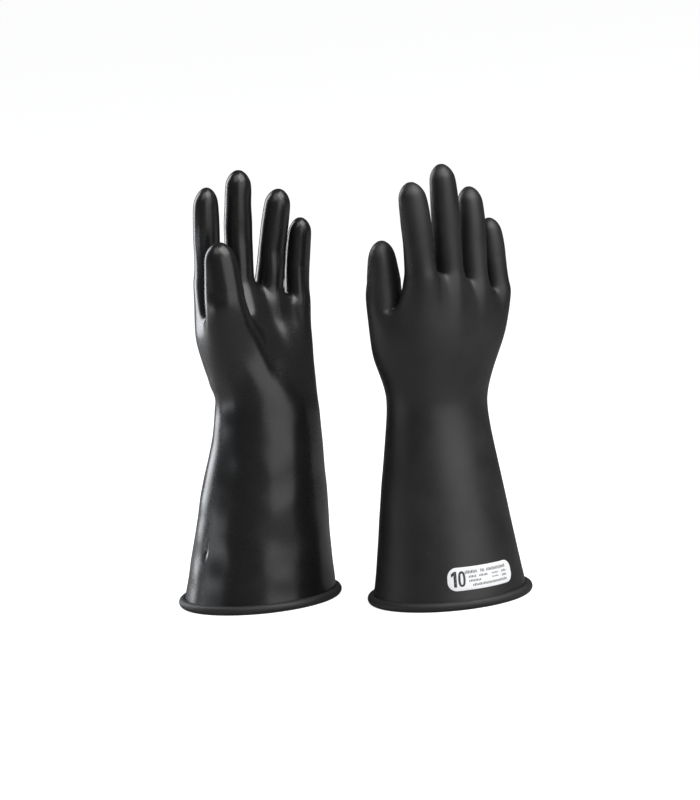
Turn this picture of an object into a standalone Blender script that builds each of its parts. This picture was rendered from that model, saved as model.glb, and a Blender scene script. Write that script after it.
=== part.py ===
"""A pair of moulded rubber electrical insulating gloves, standing on their rolled cuffs.

Each glove is one dipped rubber shell. The shell is cut at its flex lines into rigid
zones and soft flex zones, so that the wrist and every digit can bend. A rolled bead
closes the cuff and a thin printed label sits on the back of the cuff.

Glove frame, in millimetres: u runs from the thumb side to the little-finger side,
v runs from the back of the hand to the palm, w runs up from the cuff to the fingers.
"""
import math

import bmesh
import bpy
from mathutils import Matrix, Vector

MM = 0.001

# ---- rubber and fits -------------------------------------------------------------
WALL = 1.6
ZONE_GAP = 0.36
BEAD_SECTION_RADIUS = 3.75
BEAD_SIDES = 8
BEAD_OUTSET = 1.9

# ---- cuff plane: the rim is cut at a slant, so the standing glove leans -----------
RIM_SLOPE_U = 0.110
RIM_SLOPE_V = -0.0116
SLANT_FADE_END = 115.0

# ---- placing of the pair -----------------------------------------------------------
# rim centres on the floor: the left glove stands further back than the right one, and
# the box round both gloves is centred on the origin
RIGHT_SPOT = (76.79, -30.51, 0.0)
LEFT_SPOT = (-79.21, 29.49, 0.0)
RIGHT_YAW = math.radians(42.0)
LEFT_YAW = math.radians(30.0)

# ---- sections of cuff, wrist and palm ----------------------------------------------
# height, centre u, centre v, half width u, half depth v, knuckle share, thenar bulge
SECTIONS = (
    (7.4, 0.0, 0.5, 61.9, 61.9, 0.0, 0.0),
    (25.0, -0.2, 1.8, 59.0, 59.0, 0.0, 0.0),
    (55.0, -0.5, 4.8, 54.8, 54.6, 0.0, 0.0),
    (85.0, -0.7, 7.8, 51.2, 50.4, 0.0, 0.0),
    (115.0, -0.7, 11.0, 47.0, 45.4, 0.0, 0.0),
    (148.0, -1.4, 14.0, 44.3, 38.8, 0.1, 0.0),
    (164.0, -2.0, 14.9, 43.7, 36.0, 0.2, 0.6),
    (180.0, -2.4, 10.0, 46.0, 34.0, 0.35, 7.0),
    (188.0, -2.1, 5.8, 47.8, 33.2, 0.5, 12.5),
    (210.0, -1.7, -2.4, 51.2, 29.0, 0.8, 5.0),
    (233.0, -0.8, -8.4, 51.6, 25.6, 1.0, 0.0),
)
GAUNTLET_ROWS = 5
WRIST_ROWS = 2
THENAR_ANGLE = math.radians(42.0)
THENAR_WIDTH = math.radians(70.0)

# ---- fingers: name, root u, root v, root w, tip u, tip v, tip w ---------------------
FINGERS = (
    ("index", -40.8, -9.5, 265.5, -46.6, -5.0, 340.5),
    ("middle", -12.8, -9.8, 265.5, -15.0, -8.0, 353.0),
    ("ring", 14.6, -9.3, 258.0, 18.8, -1.6, 336.5),
    ("little", 40.2, -8.0, 251.0, 39.8, -2.7, 310.5),
)
# long and short radius of each finger, and the turn of the long one from u towards v
FINGER_RADII = ((12.2, 10.7), (11.6, 11.4), (11.6, 11.4), (10.2, 9.9))
FINGER_TURNS = tuple(math.radians(t) for t in (-42.0, 0.0, 0.0, 0.0))
WEB_HEIGHTS = (267.0, 262.5, 253.0)
SHOULDER_DROP = 4.0
COLLAR = 4.0
# lengths of the root flex zone, the base and the middle flex zone
FINGER_SPLITS = ((17.5, 15.0, 17.0), (18.0, 22.0, 17.5), (17.5, 18.0, 17.0), (16.0, 9.5, 15.0))
FINGER_BOW = 1.6
# share of the radius at the collar, after each zone and at the barrel of the tip
FINGER_TAPER = (1.0, 1.0, 0.985, 0.965, 0.93)

# ---- thumb --------------------------------------------------------------------------
THUMB_ROOT = Vector((-47.6, 27.0, 242.0))
THUMB_TIP = Vector((-54.8, 24.8, 295.0))
THUMB_RADII = (16.9, 14.2)
THUMB_TURN = math.radians(30.0)
THUMB_SPLITS = (14.5, 7.0, 13.5)
THUMB_TAPER = (1.0, 0.95, 0.92, 0.88, 0.83)
THENAR_CENTRE = Vector((-42.5, 26.5, 220.5))
THENAR_NORMAL = Vector((-0.16, 0.50, 0.85))
THENAR_RADII = (20.5, 16.2)
THUMB_COLUMNS = 5

# ---- facets --------------------------------------------------------------------------
RING = 12
THUMB_RING = 2 * THUMB_COLUMNS + 4
FINGER_COLUMNS = 5
COLUMNS = 2 + 2 * len(FINGERS) * FINGER_COLUMNS
# shares of the radius: distance below the tip and ring radius, from barrel to apex
DOME = ((0.86, 0.975), (0.38, 0.785), (0.085, 0.405))

# ---- label -----------------------------------------------------------------------------
LABEL_LENGTH = 60.0
LABEL_HEIGHT = 18.0
LABEL_CORNER = 7.5
LABEL_THICKNESS = 0.8
LABEL_GAP = 0.35
LABEL_CENTRE_W = 24.0
LABEL_CENTRE_ANGLE = math.radians(74.5)
LABEL_COLUMNS = 16

# ---- finishes: colour, roughness -------------------------------------------------------
FINISHES = {
    "right_rubber": ((0.018, 0.018, 0.020), 0.48),
    "left_rubber": ((0.014, 0.014, 0.017), 0.34),
    "bead_rubber": ((0.040, 0.041, 0.044), 0.62),
    "label_film": ((0.86, 0.86, 0.84), 0.50),
}


def mix(a, b, t):
    return a + (b - a) * t


def section_at(height):
    """Cuff and palm section values at a height, linear between the listed sections."""
    for low, high in zip(SECTIONS, SECTIONS[1:]):
        if height <= high[0]:
            t = (height - low[0]) / (high[0] - low[0])
            return tuple(mix(p, q, t) for p, q in zip(low, high))
    return SECTIONS[-1]


def slant(point):
    """Raise a point near the cuff so that the rim follows its slanted plane."""
    first = SECTIONS[0][0]
    t = min(max((point.z - first) / (SLANT_FADE_END - first), 0.0), 1.0)
    fade = 1.0 - t * t * (3.0 - 2.0 * t)
    rise = (RIM_SLOPE_U * point.x + RIM_SLOPE_V * point.y) * fade
    return Vector((point.x, point.y, point.z + rise))


def section_point(section, angle, side):
    """Point of a section at an angle from the thumb side; side is -1 back, +1 palm."""
    height, cu, cv, a, b, _, bulge = section
    u = -math.cos(angle)
    v = side * math.sin(angle)
    point = Vector((cu + a * u, cv + b * v, height))
    away = (angle * side - THENAR_ANGLE) / THENAR_WIDTH
    if bulge and abs(away) < 1.0:
        amount = bulge * math.cos(away * math.pi / 2) ** 2
        point += Vector((u, v, 0.0)) * amount
    return slant(point)


def knuckle_angle(finger, step):
    """Angle on the last palm section that stands under one column of a finger."""
    _, cu, _, a, _, _, _ = SECTIONS[-1]
    root_u = FINGERS[finger][1]
    turn = math.radians(150.0 - 30.0 * step)
    share = (root_u + FINGER_RADII[finger][0] * math.cos(turn) - cu) / a
    return math.acos(-max(-0.985, min(0.985, share)))


def column_angles(share):
    """Angles of the columns from the thumb side to the little-finger side."""
    half = COLUMNS // 2
    angles = []
    for column in range(1, half):
        even = column * math.pi / half
        finger, step = divmod(column - 1, FINGER_COLUMNS)
        angles.append(mix(even, knuckle_angle(finger, step), share))
    return [0.0] + angles + [math.pi]


def section_ring(section):
    """All columns of one section: thumb side, back, little-finger side, palm."""
    half = COLUMNS // 2
    angles = column_angles(section[5])
    back = [section_point(section, angles[k], -1) for k in range(half + 1)]
    palm = [section_point(section, angles[k], 1) for k in range(half - 1, 0, -1)]
    return back + palm


def ring_points(centre, normal, radii, twist=0.0, count=RING):
    """Oval ring round an axis: first point on the little-finger side, then the palm.

    The long radius is turned by twist from the little-finger side towards the palm.
    """
    normal = normal.normalized()
    across = Vector((1.0, 0.0, 0.0))
    across = (across - normal * across.dot(normal)).normalized()
    palmar = normal.cross(across)
    long_way = across * math.cos(twist) + palmar * math.sin(twist)
    short_way = normal.cross(long_way)
    points = []
    for k in range(count):
        turn = 2 * math.pi * k / count - twist
        points.append(
            centre + long_way * radii[0] * math.cos(turn) + short_way * radii[1] * math.sin(turn)
        )
    return points


class Shell:
    """Outer skin of one glove: points, faces and the zone that each face belongs to."""

    def __init__(self):
        self.points = []
        self.faces = []
        self.zones = []

    def add_ring(self, points):
        first = len(self.points)
        self.points.extend(points)
        return list(range(first, len(self.points)))

    def face(self, zone, *corners):
        self.faces.append(corners)
        self.zones.append(zone)

    def wall(self, zone, lower, upper):
        """Quads between two rings whose order runs anticlockwise seen from above."""
        count = len(lower)
        for k in range(count):
            after = (k + 1) % count
            self.face(zone, lower[k], lower[after], upper[after], upper[k])


def digit_axis(root, tip, bow):
    """Centre line of a digit as a function of the distance from its root."""
    length = (tip - root).length
    along = (tip - root) / length

    def centre(distance):
        t = distance / length
        return root + along * distance + Vector((0.0, -bow * math.sin(math.pi * t), 0.0))

    return centre, along, length


def digit_stations(splits, start):
    """Distances at which the zones of a digit change."""
    stations = [start]
    for length in splits:
        stations.append(stations[-1] + length)
    return stations


def scaled(radii, share):
    return (radii[0] * share, radii[1] * share)


def add_digit(shell, name, collar_ring, axis, stations, radii, taper, twist):
    """Flex zones, base and domed tip above the collar ring of a digit."""
    centre, along, length = axis
    zones = ("root_bend", "base", "mid_bend")
    count = len(collar_ring)
    ring = collar_ring
    for number, distance in enumerate(stations[1:]):
        oval = scaled(radii, taper[number + 1])
        upper = shell.add_ring(ring_points(centre(distance), along, oval, twist, count))
        shell.wall(name + "_" + zones[number], ring, upper)
        ring = upper
    tip_radii = scaled(radii, taper[-1])
    tip_radius = (tip_radii[0] + tip_radii[1]) / 2
    for below, share in DOME:
        spot = centre(length - below * tip_radius)
        oval = scaled(tip_radii, share)
        upper = shell.add_ring(ring_points(spot, along, oval, twist, count))
        shell.wall(name + "_tip", ring, upper)
        ring = upper
    apex = shell.add_ring([centre(length)])[0]
    for k in range(0, count, 2):
        shell.face(name + "_tip", apex, ring[k], ring[k + 1], ring[(k + 2) % count])


def finger_axis(number):
    _, ru, rv, rw, tu, tv, tw = FINGERS[number]
    return digit_axis(Vector((ru, rv, rw)), Vector((tu, tv, tw)), FINGER_BOW)


def thumb_axis():
    return digit_axis(THUMB_ROOT, THUMB_TIP, 0.0)


def build_shell():
    """Whole outer skin, from the rim to the fingertips, with its zones."""
    shell = Shell()
    half = COLUMNS // 2
    rings = [shell.add_ring(section_ring(section)) for section in SECTIONS]
    thumb_low = GAUNTLET_ROWS + WRIST_ROWS + 1
    thumb_columns = [0] + [COLUMNS - 1 - k for k in range(THUMB_COLUMNS)]
    hole = set(thumb_columns[1:])
    for row in range(len(rings) - 1):
        if row < GAUNTLET_ROWS:
            zone = "gauntlet"
        elif row < GAUNTLET_ROWS + WRIST_ROWS:
            zone = "wrist_bend"
        else:
            zone = "hand"
        for k in range(COLUMNS):
            if row >= thumb_low and k in hole:
                continue
            after = (k + 1) % COLUMNS
            shell.face(
                zone, rings[row][k], rings[row][after], rings[row + 1][after], rings[row + 1][k]
            )
    last = rings[-1]

    roots = []
    for number in range(len(FINGERS)):
        centre, along, _ = finger_axis(number)
        oval = scaled(FINGER_RADII[number], 1.05)
        points = ring_points(centre(0.0), along, oval, FINGER_TURNS[number])
        for k in range(RING):
            if k == 0 and number < len(FINGERS) - 1:
                points[k].z = WEB_HEIGHTS[number]
            elif k == RING // 2 and number > 0:
                points[k].z = WEB_HEIGHTS[number - 1]
            else:
                points[k].z -= SHOULDER_DROP
        roots.append(shell.add_ring(points))

    def back(number):
        """Columns of the palm ring under the back of a finger, thumb side first."""
        first = 1 + FINGER_COLUMNS * number
        return [last[first + k] for k in range(FINGER_COLUMNS)]

    def palm(number):
        first = COLUMNS - 1 - FINGER_COLUMNS * number
        return [last[first - k] for k in range(FINGER_COLUMNS)]

    side = RING // 2
    for number, root in enumerate(roots):
        back_root = [root[side + 1 + k] for k in range(FINGER_COLUMNS)]
        palm_root = [root[side - 1 - k] for k in range(FINGER_COLUMNS)]
        for k in range(FINGER_COLUMNS - 1):
            shell.face(
                "hand", back(number)[k], back(number)[k + 1], back_root[k + 1], back_root[k]
            )
            shell.face(
                "hand", palm(number)[k + 1], palm(number)[k], palm_root[k], palm_root[k + 1]
            )
        if number == 0:
            shell.face("hand", last[0], back(0)[0], back_root[0], root[side])
            shell.face("hand", palm(0)[0], last[0], root[side], palm_root[0])
        if number == len(roots) - 1:
            shell.face("hand", back(number)[-1], last[half], root[0], back_root[-1])
            shell.face("hand", last[half], palm(number)[-1], palm_root[-1], root[0])
        else:
            far = roots[number + 1]
            shell.face(
                "hand", back(number)[-1], back(number + 1)[0], far[side + 1], back_root[-1]
            )
            shell.face("hand", back_root[-1], far[side + 1], far[side], root[0])
            shell.face("hand", root[0], far[side], far[side - 1], palm_root[-1])
            shell.face(
                "hand", palm(number + 1)[0], palm(number)[-1], palm_root[-1], far[side - 1]
            )

    for number, root in enumerate(roots):
        axis = finger_axis(number)
        stations = digit_stations(FINGER_SPLITS[number], COLLAR)
        radii, twist = FINGER_RADII[number], FINGER_TURNS[number]
        oval = scaled(radii, FINGER_TAPER[0])
        collar = shell.add_ring(ring_points(axis[0](COLLAR), axis[1], oval, twist))
        shell.wall("hand", root, collar)
        name = FINGERS[number][0]
        add_digit(shell, name, collar, axis, stations, radii, FINGER_TAPER, twist)

    low, middle, high = rings[thumb_low], rings[thumb_low + 1], rings[thumb_low + 2]
    border = [middle[thumb_columns[-1]]]
    border += [low[k] for k in reversed(thumb_columns)]
    border += [middle[thumb_columns[0]]]
    border += [high[k] for k in thumb_columns]
    thenar_points = ring_points(
        THENAR_CENTRE, THENAR_NORMAL, THENAR_RADII, THUMB_TURN, THUMB_RING
    )
    thenar = shell.add_ring(thenar_points)
    shell.wall("hand", border, thenar)
    axis = thumb_axis()
    collar = shell.add_ring(
        ring_points(axis[0](0.0), axis[1], THUMB_RADII, THUMB_TURN, THUMB_RING)
    )
    shell.wall("hand", thenar, collar)
    stations = digit_stations(THUMB_SPLITS, 0.0)
    add_digit(shell, "thumb", collar, axis, stations, THUMB_RADII, THUMB_TAPER, THUMB_TURN)
    return shell


def vertex_normals(shell):
    """Area-weighted normals of the whole skin."""
    normals = [Vector((0.0, 0.0, 0.0)) for _ in shell.points]
    for corners in shell.faces:
        spots = [shell.points[c] for c in corners]
        area = (spots[2] - spots[0]).cross(spots[3] - spots[1])
        for c in corners:
            normals[c] += area
    return [n.normalized() for n in normals]


def zone_solid(shell, normals, zone):
    """Closed wall of one zone, drawn back from its neighbours by half the gap."""
    faces = [f for f, z in zip(shell.faces, shell.zones) if z == zone]
    uses = {}
    for corners in faces:
        for k, one in enumerate(corners):
            edge = frozenset((one, corners[(k + 1) % len(corners)]))
            uses[edge] = uses.get(edge, 0) + 1
    border = {edge for edge, count in uses.items() if count == 1}
    rim = {c for edge in border for c in edge}
    rim_ring = set(range(COLUMNS))
    inward = {}
    for edge in uses:
        if edge in border:
            continue
        one, two = tuple(edge)
        for here, there in ((one, two), (two, one)):
            if here in rim and here not in rim_ring:
                step = (shell.points[there] - shell.points[here]).normalized()
                inward.setdefault(here, []).append(step)
    used = sorted({c for corners in faces for c in corners})
    outer = {}
    inner = {}
    points = []
    for c in used:
        spot = shell.points[c].copy()
        if c in inward:
            total = sum(inward[c], Vector((0.0, 0.0, 0.0)))
            spot += total.normalized() * (ZONE_GAP / 2)
        outer[c] = len(points)
        points.append(spot)
    for c in used:
        inner[c] = len(points)
        points.append(points[outer[c]] - normals[c] * WALL)
    solid = []
    for corners in faces:
        solid.append([outer[c] for c in corners])
        solid.append([inner[c] for c in reversed(corners)])
        for k, one in enumerate(corners):
            two = corners[(k + 1) % len(corners)]
            if frozenset((one, two)) in border:
                solid.append([outer[two], outer[one], inner[one], inner[two]])
    return points, solid


def lean_matrix():
    """Turn that brings the slanted rim plane level."""
    normal = Vector((-RIM_SLOPE_U, -RIM_SLOPE_V, 1.0)).normalized()
    return normal.rotation_difference(Vector((0.0, 0.0, 1.0))).to_matrix().to_4x4()


def glove_matrix(hand):
    """Glove frame in millimetres to the world in metres; the left glove is mirrored."""
    if hand == "right":
        place = Matrix.Translation(RIGHT_SPOT) @ Matrix.Rotation(RIGHT_YAW, 4, "Z")
    else:
        place = Matrix.Translation(LEFT_SPOT) @ Matrix.Rotation(LEFT_YAW, 4, "Z")
        place = place @ Matrix.Diagonal((1.0, -1.0, 1.0, 1.0))
    return Matrix.Diagonal((MM, MM, MM, 1.0)) @ place @ lean_matrix()


def bead_solid():
    """Rolled bead round the rim, with a flat underside, in the glove frame."""
    level = lean_matrix()
    back = level.inverted()
    rim = [level @ p for p in section_ring(SECTIONS[0])]
    flat = BEAD_SECTION_RADIUS * math.cos(math.pi / BEAD_SIDES)
    points = []
    faces = []
    count = len(rim)
    for k, spot in enumerate(rim):
        run = rim[(k + 1) % count] - rim[k - 1]
        out = Vector((run.y, -run.x, 0.0)).normalized()
        middle = Vector((spot.x, spot.y, flat)) + out * BEAD_OUTSET
        for s in range(BEAD_SIDES):
            turn = 2 * math.pi * (s + 0.5) / BEAD_SIDES
            offset = out * math.cos(turn) + Vector((0.0, 0.0, math.sin(turn)))
            points.append(back @ (middle + offset * BEAD_SECTION_RADIUS))
    for k in range(count):
        after = (k + 1) % count
        for s in range(BEAD_SIDES):
            up = (s + 1) % BEAD_SIDES
            faces.append(
                [k * BEAD_SIDES + s, after * BEAD_SIDES + s, after * BEAD_SIDES + up, k * BEAD_SIDES + up]
            )
    return points, faces


def cuff_surface(angle, height, lift):
    """Point lifted off the back of the cuff, at an angle from the thumb side."""
    small = 0.01
    here = section_point(section_at(height), angle, -1)
    along = section_point(section_at(height), angle + small, -1) - here
    up = section_point(section_at(height + small), angle, -1) - here
    return here + along.cross(up).normalized() * lift


def label_solid():
    """Thin rounded plate that follows the back of the cuff, in the glove frame."""
    half_length = LABEL_LENGTH / 2
    straight = half_length - LABEL_CORNER
    middle = section_at(LABEL_CENTRE_W)
    radius = (middle[3] + middle[4]) / 2
    points = []
    faces = []
    rows = 3
    columns = LABEL_COLUMNS + 1
    for lift in (LABEL_GAP, LABEL_GAP + LABEL_THICKNESS):
        for k in range(columns):
            s = half_length * math.sin(math.pi * (k / LABEL_COLUMNS - 0.5) * 0.93)
            over = max(abs(s) - straight, 0.0)
            corner = math.sqrt(max(LABEL_CORNER**2 - over**2, 0.0))
            reach = LABEL_HEIGHT / 2 - LABEL_CORNER + corner
            angle = LABEL_CENTRE_ANGLE + s / radius
            for row in range(rows):
                height = LABEL_CENTRE_W + reach * (row - 1)
                points.append(cuff_surface(angle, height, lift))
    layer = columns * rows

    def at(level, k, row):
        return level * layer + k * rows + row

    for k in range(LABEL_COLUMNS):
        for row in range(rows - 1):
            faces.append([at(1, k, row), at(1, k + 1, row), at(1, k + 1, row + 1), at(1, k, row + 1)])
            faces.append([at(0, k, row + 1), at(0, k + 1, row + 1), at(0, k + 1, row), at(0, k, row)])
        faces.append([at(0, k, 0), at(0, k + 1, 0), at(1, k + 1, 0), at(1, k, 0)])
        top = rows - 1
        faces.append([at(1, k, top), at(1, k + 1, top), at(0, k + 1, top), at(0, k, top)])
    for row in range(rows - 1):
        end = LABEL_COLUMNS
        faces.append([at(0, 0, row + 1), at(0, 0, row), at(1, 0, row), at(1, 0, row + 1)])
        faces.append([at(0, end, row), at(0, end, row + 1), at(1, end, row + 1), at(1, end, row)])
    return points, faces


def joint_centres():
    """Glove-frame points on the wrist, root and middle joint axes."""
    wrist = SECTIONS[GAUNTLET_ROWS + 1]
    joints = {"wrist": Vector((wrist[1], wrist[2], wrist[0]))}
    digits = [
        (finger[0], finger_axis(number)[0], FINGER_SPLITS[number], COLLAR)
        for number, finger in enumerate(FINGERS)
    ]
    digits.append(("thumb", thumb_axis()[0], THUMB_SPLITS, 0.0))
    for name, centre, splits, start in digits:
        stations = digit_stations(splits, start)
        joints[name + "_root"] = centre((stations[0] + stations[1]) / 2)
        joints[name + "_mid"] = centre((stations[2] + stations[3]) / 2)
    return joints


def zone_pivot(zone, joints):
    """Joint point that a zone turns about."""
    if zone in ("hand", "wrist_bend"):
        return joints["wrist"]
    digit, _, piece = zone.partition("_")
    if piece in ("root_bend", "base"):
        return joints[digit + "_root"]
    if piece in ("mid_bend", "tip"):
        return joints[digit + "_mid"]
    return Vector((0.0, 0.0, 0.0))


def make_material(name):
    colour, roughness = FINISHES[name]
    material = bpy.data.materials.new(name)
    material.use_nodes = True
    shader = material.node_tree.nodes["Principled BSDF"]
    shader.inputs["Base Color"].default_value = (*colour, 1.0)
    shader.inputs["Roughness"].default_value = roughness
    shader.inputs["Metallic"].default_value = 0.0
    return material


def make_node(name, solid, place, mirrored, pivot, finish):
    """Blender object of one solid, with its origin on the joint it turns about."""
    points, faces = solid
    origin = place @ pivot
    mesh = bpy.data.meshes.new(name)
    bm = bmesh.new()
    verts = [bm.verts.new(place @ p - origin) for p in points]
    for corners in faces:
        order = reversed(corners) if mirrored else corners
        bm.faces.new([verts[c] for c in order])
    bm.to_mesh(mesh)
    bm.free()
    mesh.shade_smooth()
    mesh.set_sharp_from_angle(angle=math.radians(50.0))
    obj = bpy.data.objects.new(name, mesh)
    obj.location = origin
    mesh.materials.append(make_material_for(name, finish))
    bpy.context.scene.collection.objects.link(obj)
    return obj


def make_material_for(node, finish):
    """Own copy of a finish for one node."""
    material = make_material(finish)
    material.name = node + "_" + finish
    return material


def build_glove(hand, shell, normals, joints):
    place = glove_matrix(hand)
    mirrored = hand == "left"
    origin = Vector((0.0, 0.0, 0.0))
    for zone in dict.fromkeys(shell.zones):
        solid = zone_solid(shell, normals, zone)
        pivot = zone_pivot(zone, joints)
        make_node(hand + "_" + zone, solid, place, mirrored, pivot, hand + "_rubber")
    make_node(hand + "_cuff_bead", bead_solid(), place, mirrored, origin, "bead_rubber")
    make_node(hand + "_label", label_solid(), place, mirrored, origin, "label_film")


def main():
    for obj in list(bpy.data.objects):
        bpy.data.objects.remove(obj, do_unlink=True)
    shell = build_shell()
    normals = vertex_normals(shell)
    joints = joint_centres()
    for hand in ("right", "left"):
        build_glove(hand, shell, normals, joints)


main()
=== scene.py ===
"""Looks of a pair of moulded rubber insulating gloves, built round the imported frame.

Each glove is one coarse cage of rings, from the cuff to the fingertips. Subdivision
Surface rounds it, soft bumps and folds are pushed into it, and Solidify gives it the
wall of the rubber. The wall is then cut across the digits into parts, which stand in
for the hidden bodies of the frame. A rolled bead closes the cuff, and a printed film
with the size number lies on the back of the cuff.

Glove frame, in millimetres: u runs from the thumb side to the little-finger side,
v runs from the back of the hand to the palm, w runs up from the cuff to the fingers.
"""
import math

import bpy
import numpy as np
from bpy.props import FloatProperty, FloatVectorProperty, IntProperty, PointerProperty
from mathutils import Matrix, Vector, noise
from mathutils.bvhtree import BVHTree


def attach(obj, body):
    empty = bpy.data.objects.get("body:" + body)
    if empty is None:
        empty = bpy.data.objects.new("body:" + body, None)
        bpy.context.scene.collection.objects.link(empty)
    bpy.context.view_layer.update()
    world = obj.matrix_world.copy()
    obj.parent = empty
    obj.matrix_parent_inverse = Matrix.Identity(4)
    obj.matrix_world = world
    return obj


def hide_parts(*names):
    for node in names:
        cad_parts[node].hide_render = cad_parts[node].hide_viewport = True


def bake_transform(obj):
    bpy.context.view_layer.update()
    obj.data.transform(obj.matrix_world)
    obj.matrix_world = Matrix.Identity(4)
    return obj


bl_info = {
    "name": "Insulating Gloves",
    "version": (1, 0, 0),
    "blender": (4, 5, 0),
    "location": "View3D > Sidebar > Gloves",
    "description": "A pair of rubber insulating gloves with rolled cuffs and size labels",
    "category": "Object",
}

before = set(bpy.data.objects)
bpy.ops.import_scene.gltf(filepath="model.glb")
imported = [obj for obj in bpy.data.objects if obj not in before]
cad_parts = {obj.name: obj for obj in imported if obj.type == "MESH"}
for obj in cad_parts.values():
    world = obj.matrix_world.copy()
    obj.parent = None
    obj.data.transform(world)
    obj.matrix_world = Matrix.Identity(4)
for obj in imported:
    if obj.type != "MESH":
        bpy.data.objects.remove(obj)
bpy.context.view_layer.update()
HANDS = ("right", "left")
MM = 0.001

# ---- cuff plane and placing of the pair, as in the frame ----
RIM_SLOPE_U = 0.110
RIM_SLOPE_V = -0.0116
SLANT_FADE_END = 115.0
SPOTS = {"right": (76.79, -30.51, 0.0), "left": (-79.21, 29.49, 0.0)}
YAWS = {"right": math.radians(42.0), "left": math.radians(30.0)}

# ---- sections of cuff, wrist and palm ----
# height, centre u, centre v, half width u, half depth v, knuckle share, thenar bulge
SECTIONS = (
    (2.6, 0.0, 0.3, 62.3, 62.3, 0.0, 0.0),
    (7.4, 0.0, 0.5, 61.9, 61.9, 0.0, 0.0),
    (25.0, -0.2, 1.8, 59.0, 59.0, 0.0, 0.0),
    (55.0, -0.5, 4.8, 54.8, 54.6, 0.0, 0.0),
    (85.0, -0.7, 7.8, 51.2, 50.4, 0.0, 0.0),
    (115.0, -0.7, 11.0, 47.0, 45.4, 0.0, 0.0),
    (148.0, -1.4, 13.6, 44.1, 38.8, 0.1, 0.0),
    (164.0, -2.0, 12.6, 43.9, 36.4, 0.2, 1.6),
    (178.0, -2.3, 9.2, 45.4, 34.4, 0.35, 6.0),
    (190.0, -2.2, 5.0, 47.6, 32.0, 0.5, 11.0),
    (210.0, -1.7, -2.2, 51.0, 27.6, 0.8, 11.0),
    (233.0, -0.8, -8.0, 52.2, 22.6, 1.0, 4.0),
)
# sections above this height only guide the skin; it need not run through their points
GUIDE_HEIGHT = 170.0
RIM_SECTION = SECTIONS[1]
THUMB_LOW_ROW = 9
THENAR_ANGLE = math.radians(46.0)
THENAR_WIDTH = math.radians(80.0)
# how far the bulge turns towards the palm per millimetre below the last section
THENAR_DRIFT = math.radians(0.5)

# ---- fingers: name, root u, root v, root w, tip u, tip v, tip w ----
FINGERS = (
    ("index", -40.8, -9.5, 265.5, -46.6, -5.0, 340.5),
    ("middle", -12.8, -9.8, 265.5, -15.0, -8.0, 353.0),
    ("ring", 14.6, -9.3, 258.0, 18.8, -1.6, 336.5),
    ("little", 40.2, -8.0, 251.0, 39.8, -2.7, 310.5),
)
FINGER_RADII = ((12.2, 10.7), (11.6, 11.4), (11.6, 11.4), (10.2, 9.9))
FINGER_TURNS = tuple(math.radians(turn) for turn in (-42.0, 0.0, 0.0, 0.0))
WEB_HEIGHTS = (267.0, 262.5, 253.0)
SHOULDER_DROP = 4.0
# how much wider a finger's root ring is than the finger, and how firmly the skin keeps to it
ROOT_GROWTH = 1.05
ROOT_HOLD = 0.5
# turns round a finger of the five columns below it, and the share of the palm they may reach
KNUCKLE_TURNS = tuple(math.radians(turn) for turn in (150.0, 120.0, 90.0, 60.0, 30.0))
KNUCKLE_REACH = 0.985
# how far the webs reach to the back and the palm, and how much of the way up their ends stand
WEB_DEPTH = 10.5
WEB_RISE = 0.35
COLLAR = 4.0
# root flex zone, base and middle flex zone of each finger
FINGER_SPLITS = (
    (17.5, 15.0, 17.0),
    (18.0, 22.0, 17.5),
    (17.5, 18.0, 17.0),
    (16.0, 9.5, 15.0),
)
FINGER_BOW = 1.6
# share of the radius at the collar, root bend, cut, base, middle bend and tip
FINGER_TAPER = (0.99, 1.0, 1.01, 1.015, 0.995, 0.95)
# how much deeper than wide a finger is at its root, collar and root bend
ROOT_DEPTHS = (1.26, 1.17, 1.05)

# ---- thumb ----
THUMB_ROOT = Vector((-47.6, 27.0, 242.0))
THUMB_TIP = Vector((-54.8, 24.8, 295.0))
THUMB_RADII = (16.9, 14.2)
THUMB_TURN = math.radians(30.0)
THUMB_SPLITS = (14.5, 7.0, 13.5)
THUMB_TAPER = (1.0, 0.95, 0.935, 0.92, 0.88, 0.83)
THENAR_CENTRE = Vector((-34.5, 26.5, 220.5))
THENAR_NORMAL = Vector((-0.16, 0.64, 0.76))
THENAR_RADII = (26.5, 15.0)
THENAR_TURN = math.radians(5.0)
THUMB_COLUMNS = 9

DIGITS = ("index", "middle", "ring", "little", "thumb")
# how the stalls of each glove hang: sideways shift of root and tip, and added length
STALL_HANG = {
    "right": {
        "index": (-1.8, -4.0, -0.5),
        "middle": (0.6, -4.2, 0.5),
        "ring": (1.4, -1.0, -2.4),
        "little": (2.4, -1.2, -2.6),
        "thumb": (0.0, 0.0, -3.6),
    },
    "left": {
        "index": (-2.4, -0.6, 0.5),
        "middle": (0.0, 0.0, 1.6),
        "ring": (0.0, 0.4, 2.0),
        "little": (0.0, 0.6, 3.6),
        "thumb": (1.6, 2.2, 3.4),
    },
}

# ---- facets of the cage ----
RING = 12
THUMB_RING = 2 * THUMB_COLUMNS + 4
FINGER_COLUMNS = 5
COLUMNS = 2 + 2 * len(FINGERS) * FINGER_COLUMNS
# egg-shaped tips: length of the dome in radii, and how far below the apex its rings lie
DOME_LENGTH = 1.55
DOME_RINGS = (0.80, 0.46, 0.19, 0.04)
# how far up the straight part of the tip the last ring of the stall stands at most
LAST_RING = 0.6
FIT_ROUNDS = 2
RELAX_ROUNDS = 3
PIECES = ["shell"] + [digit + part for digit in DIGITS for part in ("_lower", "_upper")]

# ---- bends: how far each reaches past its flex zone, in mm ----
WRIST_BEND = (130.0, 198.0)
BEND_REACH = 3.0
# a bend keeps these gaps to the middle of the base and to the cut at the digit's root
BASE_GAP = 0.8
ROOT_GAP = 0.05
# how far the points of a cut may stand above or below it
CUT_SWAY = 1.2

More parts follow.
